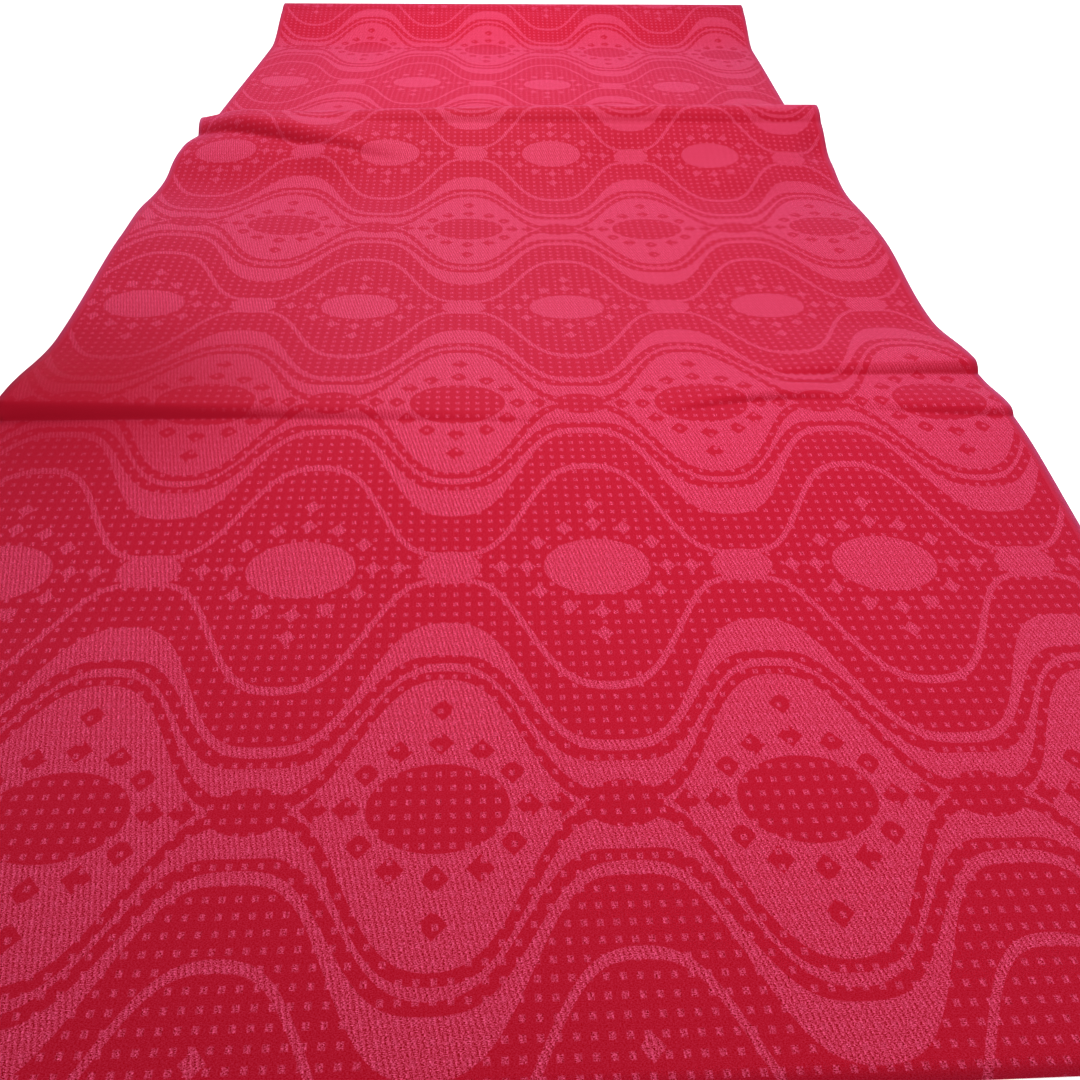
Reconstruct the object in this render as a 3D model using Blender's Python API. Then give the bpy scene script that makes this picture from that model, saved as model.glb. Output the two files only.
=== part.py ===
"""Embossed cotton cloth: one cut length at full loom width, laid out on a flat surface.

The cloth runs lengthwise along +Y and lies on z = 0. Where it was folded before, it stands up
in cross ridges, and between them it lies flat. The frame's origin is the middle of its footprint.
"""

import math

import bmesh
import bpy

# Driving sizes, in metres
REPEAT_WIDTH = 0.2825
REPEATS_ACROSS = 4
SELVEDGE = 0.010
CUT_LENGTH = 2.50
THICKNESS = 0.002
CLOTH_WIDTH = REPEATS_ACROSS * REPEAT_WIDTH + 2 * SELVEDGE

# The woven cloth's own colour and finish
CRIMSON = (0.52, 0.022, 0.06, 1.0)
ROUGHNESS = 0.55

# Cross folds, a row for each: where the crest lies from the near cut end at mid width, how far it
# slants and bows towards the edges, its height at the left edge, the middle and the right edge,
# how far its slopes reach in front of the crest and behind it, and how sharp the front slope is:
# 1 is evenly rounded, and below 1 it is steeper close to the crest.
FOLDS = (
    dict(name="low swell", crest=0.645, slant=0.010, bow=0.012,
         left=0.014, middle=0.017, right=0.020, front=0.300, behind=0.340, sharp=1.00),
    dict(name="hard crease", crest=0.664, slant=-0.009, bow=0.000,
         left=0.0100, middle=0.0030, right=0.0000, front=0.030, behind=0.130, sharp=1.00),
    dict(name="right crease", crest=0.730, slant=0.010, bow=0.000,
         left=0.000, middle=0.0010, right=0.0100, front=0.030, behind=0.110, sharp=1.00),
    dict(name="standing fold", crest=1.502, slant=0.012, bow=0.008,
         left=0.041, middle=0.058, right=0.064, front=0.280, behind=0.125, sharp=0.80),
    dict(name="far fold", crest=2.285, slant=0.015, bow=0.000,
         left=0.040, middle=0.044, right=0.048, front=0.200, behind=0.110, sharp=1.00),
)

# Edge lifts, a row for each: where both long edges lift off the surface, how far that reaches
# before and after, and how high the left and the right edge stand there.
LIFTS = (
    dict(name="between swell and fold", along=1.060, before=0.330, after=0.300, left=0.020, right=0.016),
    dict(name="foot of standing fold", along=1.330, before=0.120, after=0.120, left=0.004, right=0.002),
)

# Sideways shifts in plan, a row for each: the cloth beyond the standing fold lies further right
SHIFTS = (
    dict(name="beyond standing fold", begin=1.350, end=2.300, right=0.028),
)

# How the long edges wander in plan, a row for each place: how far it reaches before and after,
# and how far the left and the right edge stand out there (negative values are drawn in).
EDGE_PULLS = (
    dict(name="back of swell", along=0.850, before=0.280, after=0.260, left=0.000, right=-0.013),
    dict(name="ahead of standing fold", along=1.200, before=0.130, after=0.120, left=0.007, right=0.002),
    dict(name="end of standing fold", along=1.460, before=0.130, after=0.130, left=-0.016, right=0.000),
)

# Stretches along the cut length, a row for each: where it ends and how many rows of faces it has
STRETCHES = (
    dict(name="near end", end=0.320, rows=2),
    dict(name="front of swell", end=0.600, rows=8),
    dict(name="creases", end=0.780, rows=16),
    dict(name="back of swell", end=1.200, rows=12),
    dict(name="rise", end=1.480, rows=14),
    dict(name="crest and drop", end=1.680, rows=16),
    dict(name="flat middle", end=2.120, rows=5),
    dict(name="far rise", end=2.300, rows=9),
    dict(name="far drop", end=2.440, rows=11),
    dict(name="far end", end=CUT_LENGTH, rows=1),
)
COLUMNS = 22
LAYING_STEP = 0.002


def across_value(left, middle, right, side):
    """A value at side (-1 left edge, 0 middle, 1 right edge) on a smooth curve through three."""
    return middle * (1 - side ** 2) + left * side * (side - 1) / 2 + right * side * (side + 1) / 2


def swell(distance, before, after, sharp=1.0):
    """1 at distance 0, falling smoothly to 0 at -before and at +after."""
    share = min(-distance / before, 1.0) ** sharp if distance < 0 else min(distance / after, 1.0)
    return 0.5 + 0.5 * math.cos(math.pi * share)


def height(side, along):
    """Height of the cloth's underside at a place across it and along the surface."""
    rise = 0.0
    for fold in FOLDS:
        crest = fold["crest"] + fold["slant"] * side + fold["bow"] * side ** 2
        tall = across_value(fold["left"], fold["middle"], fold["right"], side)
        rise += max(tall, 0.0) * swell(along - crest, fold["front"], fold["behind"], fold["sharp"])
    for lift in LIFTS:
        edge = lift["left"] if side < 0 else lift["right"]
        rise += edge * side ** 2 * swell(along - lift["along"], lift["before"], lift["after"])
    return rise


def plan_place(side, along):
    """Sideways place in plan of a point across the cloth: edges wander and the far part shifts."""
    across = side * CLOTH_WIDTH / 2
    for pull in EDGE_PULLS:
        edge = pull["left"] if side < 0 else pull["right"]
        across += edge * side * abs(side) * swell(along - pull["along"], pull["before"], pull["after"])
    for shift in SHIFTS:
        reach = shift["end"] - shift["begin"]
        across += shift["right"] * (1 - swell(max(along - shift["begin"], 0.0), reach, reach))
    return across


def cut_stations():
    """Places of the rows along the flat cut length, from the near end to the far end."""
    stations = [0.0]
    for stretch in STRETCHES:
        begin = stations[-1]
        for row in range(1, stretch["rows"] + 1):
            stations.append(begin + (stretch["end"] - begin) * row / stretch["rows"])
    return stations


def lay_down(side, stations):
    """Lay one lengthwise thread over the folds: its points at the given cut lengths."""
    points = []
    along = 0.0
    used = 0.0
    for station in stations:
        while used < station - 1e-9:
            step = min(LAYING_STEP, station - used)
            slope = (height(side, along + step) - height(side, along)) / step
            along += step / math.sqrt(1 + slope ** 2)
            used += step
        points.append((along, height(side, along)))
    return points


def cloth_material():
    material = bpy.data.materials.new("crimson damask")
    material.use_nodes = True
    shader = material.node_tree.nodes["Principled BSDF"]
    shader.inputs["Base Color"].default_value = CRIMSON
    shader.inputs["Roughness"].default_value = ROUGHNESS
    shader.inputs["Metallic"].default_value = 0.0
    return material


def middle_of(values):
    return (min(values) + max(values)) / 2


def cloth_places():
    """The underside's points, a list for each lengthwise thread, centred on their footprint."""
    stations = cut_stations()
    threads = []
    for column in range(COLUMNS + 1):
        side = 2 * column / COLUMNS - 1
        threads.append([(plan_place(side, along), along, rise) for along, rise in lay_down(side, stations)])
    middle_x = middle_of([place[0] for thread in threads for place in thread])
    middle_y = middle_of([place[1] for thread in threads for place in thread])
    return [[(x - middle_x, y - middle_y, z) for x, y, z in thread] for thread in threads]


def build_cloth():
    threads = cloth_places()
    rows = len(threads[0]) - 1

    sheet = bmesh.new()
    bmesh.ops.create_grid(sheet, x_segments=COLUMNS, y_segments=rows, size=1.0)
    for vertex in sheet.verts:
        column = round((vertex.co.x + 1) / 2 * COLUMNS)
        row = round((vertex.co.y + 1) / 2 * rows)
        vertex.co = threads[column][row]

    mesh = bpy.data.meshes.new("cloth")
    sheet.to_mesh(mesh)
    sheet.free()
    mesh.materials.append(cloth_material())
    mesh.shade_smooth()
    cloth = bpy.data.objects.new("cloth", mesh)
    bpy.context.collection.objects.link(cloth)

    # The grid is the underside, and the thickness stands on top of it
    body = cloth.modifiers.new("thickness", "SOLIDIFY")
    body.thickness = THICKNESS
    body.offset = 1.0
    body.use_even_offset = True
    body.use_rim = True
    return cloth


def main():
    for old in list(bpy.data.objects):
        bpy.data.objects.remove(old, do_unlink=True)
    build_cloth()


main()
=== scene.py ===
import math

import bmesh
import bpy
from mathutils import Matrix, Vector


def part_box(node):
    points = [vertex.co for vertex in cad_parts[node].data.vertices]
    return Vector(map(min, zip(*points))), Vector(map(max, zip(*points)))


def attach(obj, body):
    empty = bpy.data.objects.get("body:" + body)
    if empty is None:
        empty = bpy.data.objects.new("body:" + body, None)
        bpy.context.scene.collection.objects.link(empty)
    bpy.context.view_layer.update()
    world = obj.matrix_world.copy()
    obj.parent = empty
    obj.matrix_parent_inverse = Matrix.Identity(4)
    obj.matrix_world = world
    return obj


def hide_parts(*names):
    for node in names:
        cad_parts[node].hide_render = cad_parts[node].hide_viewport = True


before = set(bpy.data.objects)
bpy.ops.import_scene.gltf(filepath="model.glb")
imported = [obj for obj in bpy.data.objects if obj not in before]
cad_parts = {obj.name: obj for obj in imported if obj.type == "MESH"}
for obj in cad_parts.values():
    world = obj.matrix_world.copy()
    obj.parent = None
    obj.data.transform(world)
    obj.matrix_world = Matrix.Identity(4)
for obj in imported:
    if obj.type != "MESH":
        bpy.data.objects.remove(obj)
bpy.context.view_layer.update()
print("frame loaded:", ", ".join(sorted(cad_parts)))

# Cloth: sizes in metres, across = from the middle of the cloth, along = from its near cut end
clothSettings = {
    "width": 1.15,
    "cutLength": 2.50,
    "thickness": 0.001,
    "columns": 130,
    "layingStep": 0.002,     # metres of thread laid at a time
    "layingSlack": 1e-9,     # metres that rounding may leave over
    # cross folds: crest = where at mid width, slant and bow move it towards the edges,
    # sharp under 1 makes the front steeper close to the crest
    "folds": [
        dict(name="low swell", crest=0.645, slant=0.010, bow=0.012,
             left=0.014, middle=0.017, right=0.020, front=0.300, behind=0.340, sharp=1.00),
        dict(name="standing fold", crest=1.502, slant=0.012, bow=0.008,
             left=0.038, middle=0.054, right=0.060, front=0.280, behind=0.125, sharp=0.80),
        dict(name="far fold", crest=2.285, slant=0.015, bow=0.000,
             left=0.040, middle=0.044, right=0.048, front=0.200, behind=0.110, sharp=1.00),
    ],
    # both long edges lift off the table here
    "lifts": [
        dict(name="between swell and fold", along=1.060, before=0.330, after=0.300, left=0.020, right=0.016),
        dict(name="foot of standing fold", along=1.330, before=0.120, after=0.120, left=0.004, right=0.002),
    ],
    # the far part lies further right
    "shifts": [
        dict(name="beyond standing fold", begin=1.350, end=2.300, right=0.028),
    ],
    # how the long edges wander, negative = drawn in
    "edgePulls": [
        dict(name="back of swell", along=0.850, before=0.280, after=0.260, left=0.000, right=-0.013),
        dict(name="ahead of standing fold", along=1.200, before=0.130, after=0.120, left=0.007, right=0.002),
        dict(name="end of standing fold", along=1.460, before=0.130, after=0.130, left=-0.016, right=0.000),
    ],
    # short creases from left to right: foot line through three places and the height there,
    # front = how far it is from there to its crest, back = how far it reaches behind the crest
    "creases": [
        dict(name="left hard crease", left=-0.600, right=0.120,
             alongLeft=0.642, alongMiddle=0.640, alongRight=0.624,
             tallLeft=0.0160, tallMiddle=0.0068, tallRight=0.0000, front=0.016, back=0.160),
        dict(name="middle crease", left=0.160, right=0.410,
             alongLeft=0.640, alongMiddle=0.667, alongRight=0.666,
             tallLeft=0.0000, tallMiddle=0.0055, tallRight=0.0000, front=0.012, back=0.080),
        dict(name="lower right crease", left=0.380, right=0.600,
             alongLeft=0.654, alongMiddle=0.641, alongRight=0.634,
             tallLeft=0.0000, tallMiddle=0.0050, tallRight=0.0050, front=0.012, back=0.060),
        dict(name="upper right crease", left=0.260, right=0.620,
             alongLeft=0.716, alongMiddle=0.721, alongRight=0.719,
             tallLeft=0.0000, tallMiddle=0.0075, tallRight=0.0125, front=0.018, back=0.120),
        dict(name="nose of standing fold", left=-0.620, right=-0.180,
             alongLeft=1.472, alongMiddle=1.410, alongRight=1.362,
             tallLeft=0.0150, tallMiddle=0.0160, tallRight=0.0000, front=0.030, back=0.090),
        dict(name="roll of standing fold", left=-0.620, right=0.620,
             alongLeft=1.484, alongMiddle=1.466, alongRight=1.478,
             tallLeft=0.0000, tallMiddle=0.0080, tallRight=0.0060, front=0.036, back=0.060),
        dict(name="roll of far fold", left=-0.620, right=0.620,
             alongLeft=2.235, alongMiddle=2.250, alongRight=2.265,
             tallLeft=0.0040, tallMiddle=0.0040, tallRight=0.0040, front=0.036, back=0.060),
    ],
    "creaseProbe": 0.002,    # metres over which a crease's steepness is taken
    "fullShadeSteepness": 1.3,     # steepness at which the painted shade is full
    # patches of painted shade, darker and without sheen: half sizes and how much shade
    "shadedPatches": [
        dict(name="around left hard crease", across=-0.520, along=0.690, wide=0.380, long=0.270,
             turn=0, share=0.80),
    ],
    # soft dents and humps: half sizes across and along, turned by degrees
    "dents": [
        dict(name="left knuckle", across=-0.310, along=1.375, wide=0.075, long=0.085,
             turn=12, rise=0.009),
        dict(name="middle knuckle", across=0.195, along=1.370, wide=0.080, long=0.110,
             turn=-14, rise=-0.004),
        dict(name="right hump", across=0.400, along=1.320, wide=0.110, long=0.080,
             turn=8, rise=0.005),
        dict(name="left end droop", across=-0.600, along=1.500, wide=0.130, long=0.110,
             turn=0, rise=-0.019),
        dict(name="left shelf", across=-0.480, along=1.385, wide=0.190, long=0.110,
             turn=0, rise=0.008),
        dict(name="right end dip", across=0.560, along=1.400, wide=0.060, long=0.060,
             turn=0, rise=-0.006),
        dict(name="near left wave", across=-0.330, along=0.330, wide=0.260, long=0.050,
             turn=2, rise=0.0012),
        dict(name="near right wave", across=0.250, along=0.180, wide=0.300, long=0.110,
             turn=-6, rise=0.0015),
    ],
    # a lengthwise crease beyond the standing fold
    "lengthwise": dict(across=0.146, begin=1.66, end=2.16, tall=0.0022, half=0.012),
    # rows of faces along the cloth, closer where it bends tightly
    "stretches": [
        dict(name="near end", end=0.300, rows=24),
        dict(name="front of swell", end=0.600, rows=40),
        dict(name="creases", end=0.780, rows=72),
        dict(name="back of swell", end=1.200, rows=48),
        dict(name="rise", end=1.480, rows=50),
        dict(name="crest and drop", end=1.680, rows=44),
        dict(name="flat middle", end=2.120, rows=30),
        dict(name="far rise", end=2.300, rows=24),
        dict(name="far drop", end=2.440, rows=20),
        dict(name="far end", end=2.500, rows=6),
    ],
}
halfWidth = clothSettings["width"] / 2


def threeValues(left, middle, right, side):
    # smooth curve through the values at side -1, 0 and 1
    return middle * (1 - side ** 2) + left * side * (side - 1) / 2 + right * side * (side + 1) / 2


def swell(distance, before, after, sharp=1.0):
    share = min(-distance / before, 1.0) ** sharp if distance < 0 else min(distance / after, 1.0)
    return 0.5 + 0.5 * math.cos(math.pi * share)


def creaseRise(beyondFoot, tall, front, back):
    # steep at its foot, round at its crest, and a long soft back
    if beyondFoot < front:
        share = max(beyondFoot / front, 0.0)
        return tall * share * (2 - share)
    return tall * swell(beyondFoot - front, back, back)


def foldHeight(side, along):
    rise = 0.0
    for fold in clothSettings["folds"]:
        crest = fold["crest"] + fold["slant"] * side + fold["bow"] * side ** 2
        tall = threeValues(fold["left"], fold["middle"], fold["right"], side)
        rise += max(tall, 0.0) * swell(along - crest, fold["front"], fold["behind"], fold["sharp"])
    for lift in clothSettings["lifts"]:
        edge = lift["left"] if side < 0 else lift["right"]
        rise += edge * side ** 2 * swell(along - lift["along"], lift["before"], lift["after"])
    return rise


def patch(place, across, along):
    # 1 in the middle of an oval place and 0 from its rim on
    turn = math.radians(place["turn"])
    right = across - place["across"]
    ahead = along - place["along"]
    wide = (right * math.cos(turn) + ahead * math.sin(turn)) / place["wide"]
    long = (ahead * math.cos(turn) - right * math.sin(turn)) / place["long"]
    return swell(math.hypot(wide, long), 1.0, 1.0)


def creaseHeight(across, along):
    rise = 0.0
    for crease in clothSettings["creases"]:
        if not crease["left"] < across < crease["right"]:
            continue
        place = 2 * (across - crease["left"]) / (crease["right"] - crease["left"]) - 1
        foot = threeValues(crease["alongLeft"], crease["alongMiddle"], crease["alongRight"], place)
        tall = threeValues(crease["tallLeft"], crease["tallMiddle"], crease["tallRight"], place)
        rise += creaseRise(along - foot, max(tall, 0.0), crease["front"], crease["back"])
    for dent in clothSettings["dents"]:
        rise += dent["rise"] * patch(dent, across, along)
    run = clothSettings["lengthwise"]
    reach = (run["end"] - run["begin"]) / 2
    rise += (run["tall"] * swell(across - run["across"], run["half"], run["half"])
             * swell(along - run["begin"] - reach, reach, reach))
    return rise


def clothHeight(side, along):
    across = side * halfWidth
    return max(foldHeight(side, along) + creaseHeight(across, along), 0.0)


def paintedShadeShare(side, along):
    # how much painted shade to lay on: 1 on the steep front of a hard crease, 0 where the cloth is smooth,
    # more inside the shaded patches
    across = side * halfWidth
    probe = clothSettings["creaseProbe"]
    steepness = (creaseHeight(across, along + probe) - creaseHeight(across, along - probe)) / (2 * probe)
    share = max(steepness / clothSettings["fullShadeSteepness"], 0.0)
    for place in clothSettings["shadedPatches"]:
        share += place["share"] * patch(place, across, along)
    return min(share, 1.0)


def planAcross(side, along):
    across = side * halfWidth
    for pull in clothSettings["edgePulls"]:
        edge = pull["left"] if side < 0 else pull["right"]
        across += edge * side * abs(side) * swell(along - pull["along"], pull["before"], pull["after"])
    for shift in clothSettings["shifts"]:
        reach = shift["end"] - shift["begin"]
        across += shift["right"] * (1 - swell(max(along - shift["begin"], 0.0), reach, reach))
    return across


def cutStations():
    stations = [0.0]
    for stretch in clothSettings["stretches"]:
        begin = stations[-1]
        for row in range(1, stretch["rows"] + 1):
            stations.append(begin + (stretch["end"] - begin) * row / stretch["rows"])
    return stations


def layThread(side, stations):
    # follow the folds with the thread's own length, so that nothing stretches
    points = []
    along = 0.0
    used = 0.0
    here = clothHeight(side, along)
    for station in stations:
        while used < station - clothSettings["layingSlack"]:
            step = min(clothSettings["layingStep"], station - used)
            slope = (clothHeight(side, along + step) - here) / step
            along += step / math.sqrt(1 + slope ** 2)
            here = clothHeight(side, along)
            used += step
        points.append((planAcross(side, along), along, here, paintedShadeShare(side, along)))
    return points


# Shader sockets that take part in Python expressions
class Wire:
    def __init__(self, tree, socket):
        self.tree = tree
        self.socket = socket

    def node(self, kind, settings=None, sockets=None, out=0):
        made = self.tree.nodes.new(kind)
        for name, value in (settings or {}).items():
            setattr(made, name, value)
        for name, value in (sockets or {}).items():
            if isinstance(value, Wire):
                self.tree.links.new(value.socket, made.inputs[name])
            else:
                made.inputs[name].default_value = value
        return Wire(self.tree, made.outputs[out])

    def maths(self, operation, *values, clamp=False):
        settings = {"operation": operation, "use_clamp": clamp}
        return self.node("ShaderNodeMath", settings, dict(enumerate(values)))

    def vector(self, operation, *values, out=0):
        return self.node("ShaderNodeVectorMath", {"operation": operation}, dict(enumerate(values)), out)

    def __add__(self, other):
        return self.maths("ADD", self, other)

    def __sub__(self, other):
        return self.maths("SUBTRACT", self, other)

    def __rsub__(self, other):
        return self.maths("SUBTRACT", other, self)

    def __mul__(self, other):
        return self.maths("MULTIPLY", self, other)

    def __truediv__(self, other):
        return self.maths("DIVIDE", self, other)

    def __abs__(self):
        return self.maths("ABSOLUTE", self)

    def __pow__(self, other):
        return self.maths("POWER", self, other)

    def timesPlus(self, factor, extra, clamp=False):
        return self.maths("MULTIPLY_ADD", self, factor, extra, clamp=clamp)

    def larger(self, other):
        return self.maths("MAXIMUM", self, other)

    def smaller(self, other):
        return self.maths("MINIMUM", self, other)

    def cosine(self):
        return self.maths("COSINE", self)

    def above(self, soft):
        # 1 where this value is above zero and 0 below it, with an edge of the width soft
        return self.timesPlus(1 / soft, 0.5, clamp=True)

    def offWhole(self):
        # distance from the nearest whole number
        return abs(self - self.maths("ROUND", self))

    def pair(self, other):
        return self.node("ShaderNodeCombineXYZ", None, {0: self, 1: other})

    def noise(self, cellsAcross, cellsAlong, octaves):
        # the cells' size is in the coordinates, so that the texture's own scale is 1
        cells = self.vector("MULTIPLY", self, (cellsAcross, cellsAlong, 0))
        return self.node("ShaderNodeTexNoise", {"noise_dimensions": "2D"},
                         {"Vector": cells, "Scale": 1.0, "Detail": octaves})


# Woven pattern: lengths in widths of one repeat, medallions lie in rows half a drop apart
patternSettings = {
    "repeat": 0.2825,        # metres
    "halfDrop": 0.240,       # metres from a row of light medallions to a row of dark ones
    "firstColumn": 0.258,    # repeats from the left selvedge to the first light medallion
    "firstRow": 0.425,       # metres from the near cut end to a row of light medallions
    "selvedge": 0.010,       # metres
    "edgeSoftness": 0.003,   # width over which every outline fades
    # wavy outlines: height at a column of light medallions, halfway, and at a column of dark ones
    "thinLine": (0.475, 0.250, 0.055),
    "thinLineWidth": 0.021,
    "thinLineTop": 0.009,    # how much wider the thin line is at its crests
    "thinLineCrest": 3,      # higher keeps the wider stretch closer to the crests
    "outerBand": (0.190, 0.390, 0.620),
    "outerStripe": (0.155, 0.325, 0.495),
    "innerBand": (0.125, 0.263, 0.465),
    "innerStripe": (0.035, 0.226, 0.435),
    "body": (0.005, 0.170, 0.405),
    "bodyTip": 0.103,        # the body ends this far from a column of light medallions
    "fullWave": 0.09,        # how much fuller the waves are than a plain cosine
    # half sizes across and along; knots are the small ovals between the medallions of a row
    "lightMedallion": (0.1825, 0.120),
    "darkMedallion": (0.1925, 0.126),
    "lightKnot": (0.104, 0.070),
    "darkKnot": (0.106, 0.0675),
    # diamonds round each medallion: half sizes, and places across and along from its middle
    "lightDiamond": (0.0300, 0.0310),
    "lightDiamonds": [(0.325, 0.0), (0.240, 0.0), (0.200, 0.105),
                      (0.105, 0.170), (0.0, 0.190), (0.0, 0.280)],
    "darkDiamond": (0.0375, 0.0365),
    "darkDiamonds": [(0.330, 0.0), (0.245, 0.0), (0.200, 0.100),
                     (0.115, 0.165), (0.0, 0.190), (0.0, 0.300)],
    "diamondEdge": 0.7,      # from a diamond's middle to its edge, in half sizes
    # small square dots, whose columns lean a little against the medallions
    "dotsPerRepeat": 25,
    "dotsPerHalfDrop": 21.25,
    "dotRowStart": 0.0015,   # metres beyond the first row
    "dotLean": 0.5,          # dot columns per half drop
    "dot": 0.0158,           # width
    "dotOnGround": 1.10,     # what a dot adds to the tone, from ground (0) to figure (1)
    "dotOnFigure": 0.50,
    # colours, linear
    "ground": (0.482, 0.0060, 0.0245, 1.0),
    "figure": (0.564, 0.0270, 0.0725, 1.0),
    "groundRoughness": 0.62,
    "figureRoughness": 0.50,
    # weave
    "threadPitch": 0.0008,   # metres
    "slubsLong": 700,        # noise cells per metre along a thread
    "slubsClose": 1700,      # and from thread to thread
    "slubOctaves": 1.0,
    "weftGrain": 1.3,        # the weft threads show more than the warp
    "warpGrain": 0.7,
    "grainOnGround": 1.00,   # how strongly the threads show
    "grainOnFigure": 5.20,
    "satinPitch": 0.0039,    # metres across from one satin line to the next
    "satinLean": 0.30,       # metres to the left for a metre along
    "satinBreak": 2.6,       # radians by which the noise breaks the lines up
    "satinLines": 0.50,      # their strength on the figure
    "threadShade": 0.17,     # how much lighter and darker the threads themselves are
    "raggedness": 0.0007,    # metres by which the threads shift the figure's edges
    "selvedgeTone": 0.45,    # from ground (0) to figure (1)
    "paintedShade": (0.390, 0.0045, 0.0200, 1.0),    # darker dull colour painted as shade on crease fronts and shaded patches
    "weaveRelief": 0.00006,  # metres
    "slubRelief": 2.0,       # times the weave's
    "reliefStrength": 0.6,
    "reliefUnit": 1.0,       # metres of relief for a value of 1
    # a cloth reflects little and has a pink haze at low angles
    "specular": 0.03,
    "sheen": 0.46,
    "sheenRoughness": 0.42,
    "sheenTint": (1.0, 0.23, 0.60, 1.0),
}


def waveTerms(heights):
    # the curve through the three heights as terms of 1, cos x, cos 2x and cos 3x
    atLight, halfway, atDark = heights
    middle = (atLight + atDark) / 2
    first = (atLight - atDark) / 2 / (1 - patternSettings["fullWave"])
    return (middle + halfway) / 2, first, (middle - halfway) / 2, -patternSettings["fullWave"] * first


def waveCurve(wave, heights):
    # the same terms written as powers of cos x
    flat, first, second, third = waveTerms(heights)
    curve = wave.timesPlus(4 * third, 2 * second)
    return wave.timesPlus(wave.timesPlus(curve, first - 3 * third), flat - second)


def waveSteepness(wave, heights):
    # how much longer the curve is than its run, so that a line keeps its width on steep stretches
    first, second, third = waveTerms(heights)[1:]
    slope = wave.timesPlus(wave.timesPlus(12 * third, 4 * second), first - 3 * third)
    # squared change of the cosine over the width of a repeat
    change = (wave * wave).timesPlus(-(2 * math.pi) ** 2, (2 * math.pi) ** 2)
    return (change * slope).timesPlus(slope, 1.0) ** 0.5


def ellipse(place, halves, soft):
    reach = place.vector("LENGTH", place.vector("MULTIPLY", place, (1 / halves[0], 1 / halves[1], 0)), out=1)
    return reach.timesPlus(-halves[1] / soft, halves[1] / soft + 0.5, clamp=True)


def diamonds(place, places, halves, soft):
    found = None
    for right, ahead in places:
        off = place.vector("ABSOLUTE", place.vector("SUBTRACT", place, (right, ahead, 0)))
        reach = place.vector("DOT_PRODUCT", off, (1 / halves[0], 1 / halves[1], 0), out=1)
        found = reach if found is None else found.smaller(reach)
    edge = halves[1] * patternSettings["diamondEdge"] / soft
    return found.timesPlus(-edge, edge + 0.5, clamp=True)


def figureMasks(across, along):
    # light satin figure (1) against dark ground (0), and the small square dots
    use = patternSettings
    soft = use["edgeSoftness"]
    repeat = use["repeat"]
    drop = use["halfDrop"] / repeat
    firstColumn = use["firstColumn"] + (use["selvedge"] - halfWidth) / repeat
    column = across.timesPlus(1 / repeat, -firstColumn)
    row = along.timesPlus(1 / repeat, -use["firstRow"] / repeat)
    toLight = column.offWhole()    # from a column of light medallions, up to 0.5
    toDark = 0.5 - toLight
    rowLight = (row / (2 * drop)).offWhole() * (2 * drop)    # from a row of light medallions
    rowDark = drop - rowLight
    byLight = toLight.pair(rowLight)
    byDark = toDark.pair(rowDark)
    lightKnot = toDark.pair(rowLight)
    darkKnot = toLight.pair(rowDark)
    wave = (column * (2 * math.pi)).cosine()

    def within(name):
        return (waveCurve(wave, use[name]) - rowDark).above(soft)

    bands = within("outerBand") - within("outerStripe") + within("innerBand") - within("innerStripe")
    bands = bands + within("body") * (toLight - use["bodyTip"]).above(soft)

    crest = wave.larger(0.0) ** use["thinLineCrest"]
    offLine = abs(rowLight - waveCurve(wave, use["thinLine"])) / waveSteepness(wave, use["thinLine"])
    thinLine = (crest.timesPlus(use["thinLineTop"] / 2, use["thinLineWidth"] / 2) - offLine).above(soft)

    light = bands.larger(thinLine)
    light = light.larger(ellipse(byLight, use["lightMedallion"], soft))
    light = light.larger(ellipse(lightKnot, use["lightKnot"], soft))
    light = light.larger(diamonds(byLight, use["lightDiamonds"], use["lightDiamond"], soft))
    dark = ellipse(byDark, use["darkMedallion"], soft)
    dark = dark.larger(ellipse(darkKnot, use["darkKnot"], soft))
    dark = dark.larger(diamonds(byDark, use["darkDiamonds"], use["darkDiamond"], soft))
    figure = light * (1 - dark)

    dotRow = (along - (use["firstRow"] + use["dotRowStart"])) * (use["dotsPerHalfDrop"] / use["halfDrop"])
    dotColumn = column.timesPlus(use["dotsPerRepeat"], row * (use["dotLean"] / drop))
    offColumn = dotColumn.offWhole() / use["dotsPerRepeat"]
    offRow = dotRow.offWhole() * (drop / use["dotsPerHalfDrop"])
    dots = (use["dot"] / 2 - offColumn.larger(offRow)).above(soft)
    return figure, dots


def setInputs(shader, values):
    for name, value in values.items():
        shader.inputs[name].default_value = value


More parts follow.
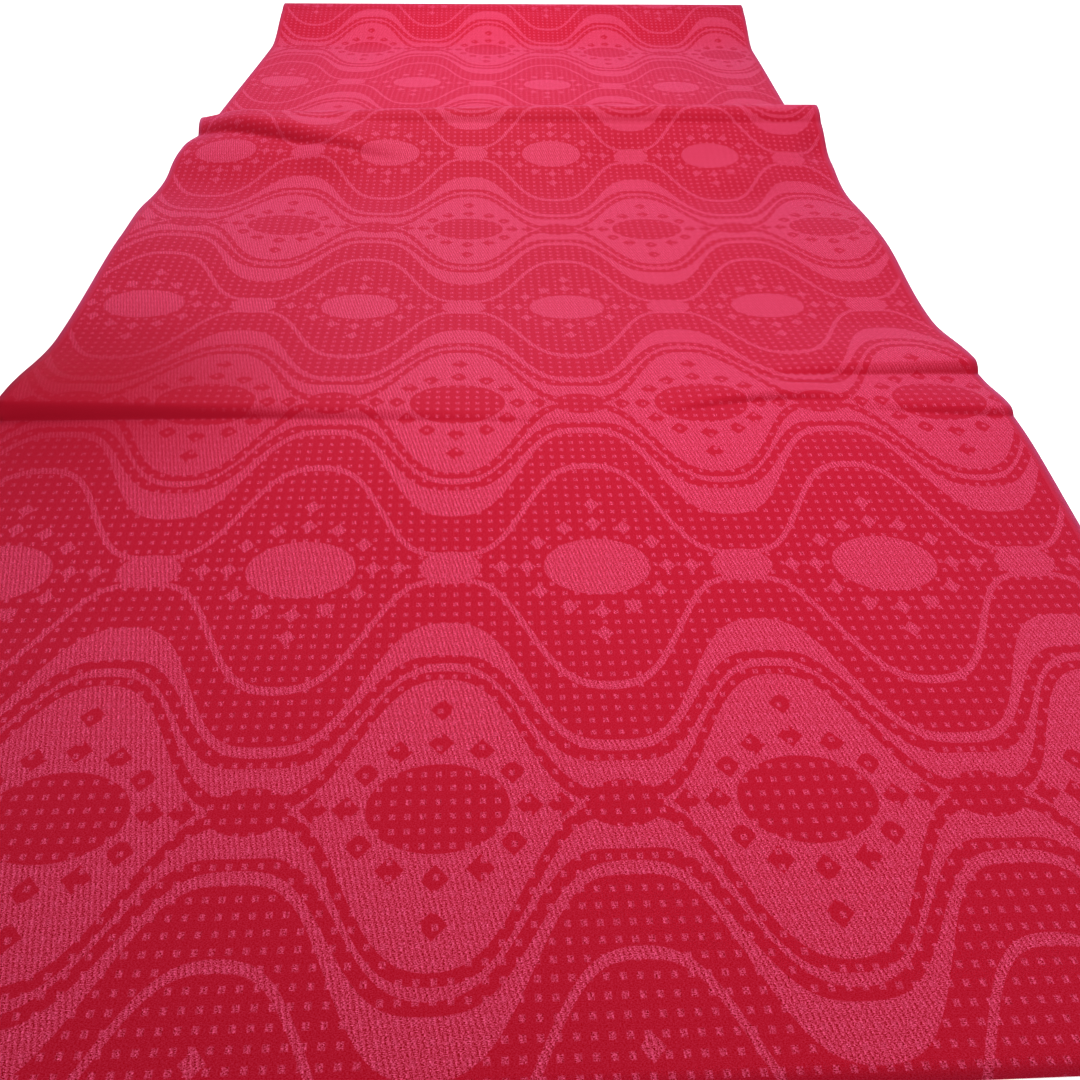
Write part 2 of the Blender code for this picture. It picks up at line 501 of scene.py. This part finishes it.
def makeClothMaterial():
    use = patternSettings
    material = bpy.data.materials.new("crimson damask")
    material.use_nodes = True
    tree = material.node_tree
    shader = tree.nodes["Principled BSDF"]
    flat = Wire(tree, None).node("ShaderNodeUVMap", {"uv_map": "flat cloth"})
    across = flat.node("ShaderNodeSeparateXYZ", None, {0: flat}, out=0)
    along = flat.node("ShaderNodeSeparateXYZ", None, {0: flat}, out=1)

    # threads: fine lines both ways, with thick and thin places along them
    weft = flat.noise(use["slubsLong"], use["slubsClose"], use["slubOctaves"])
    warp = flat.noise(use["slubsClose"], use["slubsLong"], use["slubOctaves"])
    grain = weft.timesPlus(use["weftGrain"], warp * use["warpGrain"])
    grain = grain - (use["weftGrain"] + use["warpGrain"]) / 2
    ragged = use["raggedness"]
    figure, dots = figureMasks(weft.timesPlus(ragged, across - ragged / 2),
                               warp.timesPlus(ragged, along - ragged / 2))
    turns = 2 * math.pi / use["threadPitch"]
    weave = (across * turns).cosine() * (along * turns).cosine()

    tone = figure + dots * (figure * (use["dotOnFigure"] - use["dotOnGround"]) + use["dotOnGround"])
    satin = figure.larger(dots)
    threads = grain * satin.timesPlus(use["grainOnFigure"] - use["grainOnGround"], use["grainOnGround"])
    lines = along.timesPlus(use["satinLean"], across) * (2 * math.pi / use["satinPitch"])
    threads = threads + (lines + grain * use["satinBreak"]).cosine() * satin * use["satinLines"]
    tone = tone + threads
    # the selvedges are plain
    woven = (halfWidth - use["selvedge"] - abs(across)).above(use["threadPitch"])
    tone = woven.timesPlus(tone - use["selvedgeTone"], use["selvedgeTone"])
    # sockets 6 and 7 are the two colours to mix
    colour = flat.node("ShaderNodeMix", {"data_type": "RGBA", "clamp_factor": False},
                       {0: tone, 6: use["ground"], 7: use["figure"]}, out=2)
    colour = flat.node("ShaderNodeVectorMath", {"operation": "SCALE"}, {
        "Vector": colour, "Scale": threads.timesPlus(use["threadShade"], 1.0)})
    roughness = figure.timesPlus(use["figureRoughness"] - use["groundRoughness"], use["groundRoughness"])
    height = (weave + grain * use["slubRelief"]) * use["weaveRelief"]
    bump = flat.node("ShaderNodeBump", None, {
        "Strength": use["reliefStrength"], "Distance": use["reliefUnit"], "Height": height})
    tree.links.new(colour.socket, shader.inputs["Base Color"])
    tree.links.new(roughness.socket, shader.inputs["Roughness"])
    tree.links.new(bump.socket, shader.inputs["Normal"])
    setInputs(shader, {
        "Specular IOR Level": use["specular"], "Sheen Weight": use["sheen"],
        "Sheen Roughness": use["sheenRoughness"], "Sheen Tint": use["sheenTint"]})

    # a second, darker finish without sheen: painted shade on crease fronts and over the shaded patches
    shadedFinish = tree.nodes.new("ShaderNodeBsdfPrincipled")
    setInputs(shadedFinish, {
        "Base Color": use["paintedShade"], "Roughness": use["groundRoughness"],
        "Specular IOR Level": use["specular"]})
    tree.links.new(bump.socket, shadedFinish.inputs["Normal"])
    # share of painted shade, laid on the vertices, mixes in the darker finish
    shadeShare = flat.node("ShaderNodeAttribute", {"attribute_name": "paintedShade"}, out=2)
    finish = flat.node("ShaderNodeMixShader", None, {
        0: shadeShare, 1: Wire(tree, shader.outputs[0]), 2: Wire(tree, shadedFinish.outputs[0])})
    tree.links.new(finish.socket, tree.nodes["Material Output"].inputs["Surface"])
    return material


def addObject(name, data):
    made = bpy.data.objects.new(name, data)
    bpy.context.collection.objects.link(made)
    return made


def makeCloth():
    stations = cutStations()
    columns = clothSettings["columns"]
    rows = len(stations) - 1
    threads = [layThread(2 * column / columns - 1, stations) for column in range(columns + 1)]

    # centre the footprint on the solid's
    low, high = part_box("cloth")
    xs = [point[0] for thread in threads for point in thread]
    ys = [point[1] for thread in threads for point in thread]
    moveX = (low.x + high.x) / 2 - (min(xs) + max(xs)) / 2
    moveY = (low.y + high.y) / 2 - (min(ys) + max(ys)) / 2

    def gridPlace(vertex):
        # the grid is made from -1 to 1 both ways
        return round((vertex.co.x + 1) / 2 * columns), round((vertex.co.y + 1) / 2 * rows)

    sheet = bmesh.new()
    bmesh.ops.create_grid(sheet, x_segments=columns, y_segments=rows, size=1.0)
    flat = sheet.loops.layers.uv.new("flat cloth")
    for face in sheet.faces:
        for loop in face.loops:
            column, row = gridPlace(loop.vert)
            loop[flat].uv = ((column / columns - 0.5) * clothSettings["width"], stations[row])
    # painted shade: the share of the darker, sheenless finish at each vertex
    paintedShade = sheet.verts.layers.float.new("paintedShade")
    for vertex in sheet.verts:
        column, row = gridPlace(vertex)
        x, y, z, share = threads[column][row]
        vertex.co = (x + moveX, y + moveY, z)
        vertex[paintedShade] = share

    mesh = bpy.data.meshes.new("damask cloth")
    sheet.to_mesh(mesh)
    sheet.free()
    mesh.materials.append(makeClothMaterial())
    mesh.shade_smooth()
    cloth = addObject("damask_cloth", mesh)
    # the sheet is the underside, and the thickness stands on top of it
    body = cloth.modifiers.new("thickness", "SOLIDIFY")
    body.thickness = clothSettings["thickness"]
    body.offset = 1.0
    body.use_even_offset = True
    print("cloth laid:", columns, "x", rows, "faces, moved by", round(moveX, 4), round(moveY, 4))
    return cloth, moveX, moveY


# Studio: pale floor, soft light from above and beyond, camera as the photo was taken
studioSettings = {
    "floorSize": 14.0,
    "floorDrop": 0.0003,         # keeps the floor just under the cloth
    "floorColour": (0.95, 0.95, 0.95, 1.0),
    "floorGlow": 0.55,           # lifts the floor to a clean white
    "floorRoughness": 0.9,
    "floorSpecular": 0.1,
    "white": (1.0, 1.0, 1.0, 1.0),
    "worldStrength": 0.50,
    "lights": [
        dict(name="window beyond", place=(-0.10, 0.88, 1.10), aim=(0.07, 0.14, 0.0), size=0.8, power=14.4),
        dict(name="soft overhead", place=(0.11, -0.85, 1.05), aim=(0.61, 0.23, 0.0), size=0.8, power=8.8),
    ],
    "cameraAcross": -0.0162,     # from the cloth's middle line, metres
    "cameraBefore": 0.0932,      # ahead of the near cut end
    "cameraHeight": 0.5804,
    "cameraDown": 46.12,         # degrees
    "cameraTurn": 3.62,
    "cameraRoll": 2.00,
    "lens": 26.9,                # millimetres
    "sensorWidth": 36.0,
    "clipStart": 0.01,
}


def makeFloor():
    size = studioSettings["floorSize"]
    plane = bmesh.new()
    bmesh.ops.create_grid(plane, x_segments=1, y_segments=1, size=size / 2)
    bmesh.ops.translate(plane, verts=plane.verts, vec=(0, 0, -studioSettings["floorDrop"]))
    mesh = bpy.data.meshes.new("floor")
    plane.to_mesh(mesh)
    plane.free()
    material = bpy.data.materials.new("pale floor")
    material.use_nodes = True
    setInputs(material.node_tree.nodes["Principled BSDF"], {
        "Base Color": studioSettings["floorColour"],
        "Emission Color": studioSettings["white"],
        "Emission Strength": studioSettings["floorGlow"],
        "Roughness": studioSettings["floorRoughness"],
        "Specular IOR Level": studioSettings["floorSpecular"]})
    mesh.materials.append(material)
    floor = addObject("floor", mesh)


def makeLights():
    world = bpy.data.worlds.new("studio")
    world.use_nodes = True
    setInputs(world.node_tree.nodes["Background"], {
        "Color": studioSettings["white"], "Strength": studioSettings["worldStrength"]})
    bpy.context.scene.world = world
    for light in studioSettings["lights"]:
        lamp = bpy.data.lights.new(light["name"], "AREA")
        lamp.shape = "DISK"
        lamp.size = light["size"]
        lamp.energy = light["power"]
        lampObject = addObject(light["name"], lamp)
        lampObject.location = light["place"]
        towards = [aim - place for aim, place in zip(light["aim"], light["place"])]
        turnZ = math.atan2(towards[1], towards[0]) - math.pi / 2
        tilt = math.pi / 2 + math.atan2(towards[2], math.hypot(towards[0], towards[1]))
        lampObject.rotation_euler = (tilt, 0, turnZ)
        lampObject.visible_camera = False


def makeCamera(moveX, moveY):
    camera = bpy.data.cameras.new("camera")
    camera.lens = studioSettings["lens"]
    camera.sensor_width = studioSettings["sensorWidth"]
    camera.clip_start = studioSettings["clipStart"]
    cameraObject = addObject("camera", camera)
    place = Matrix.Translation((studioSettings["cameraAcross"] + moveX,
                                moveY - studioSettings["cameraBefore"],
                                studioSettings["cameraHeight"]))
    turn = Matrix.Rotation(-math.radians(studioSettings["cameraTurn"]), 4, "Z")
    down = Matrix.Rotation(math.pi / 2 - math.radians(studioSettings["cameraDown"]), 4, "X")
    roll = Matrix.Rotation(math.radians(studioSettings["cameraRoll"]), 4, "Z")
    cameraObject.matrix_world = place @ turn @ down @ roll
    bpy.context.scene.camera = cameraObject


cloth, moveX, moveY = makeCloth()
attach(cloth, "root")
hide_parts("cloth")
makeFloor()
makeLights()
makeCamera(moveX, moveY)
bpy.context.scene.view_settings.view_transform = "Standard"
print("studio ready")
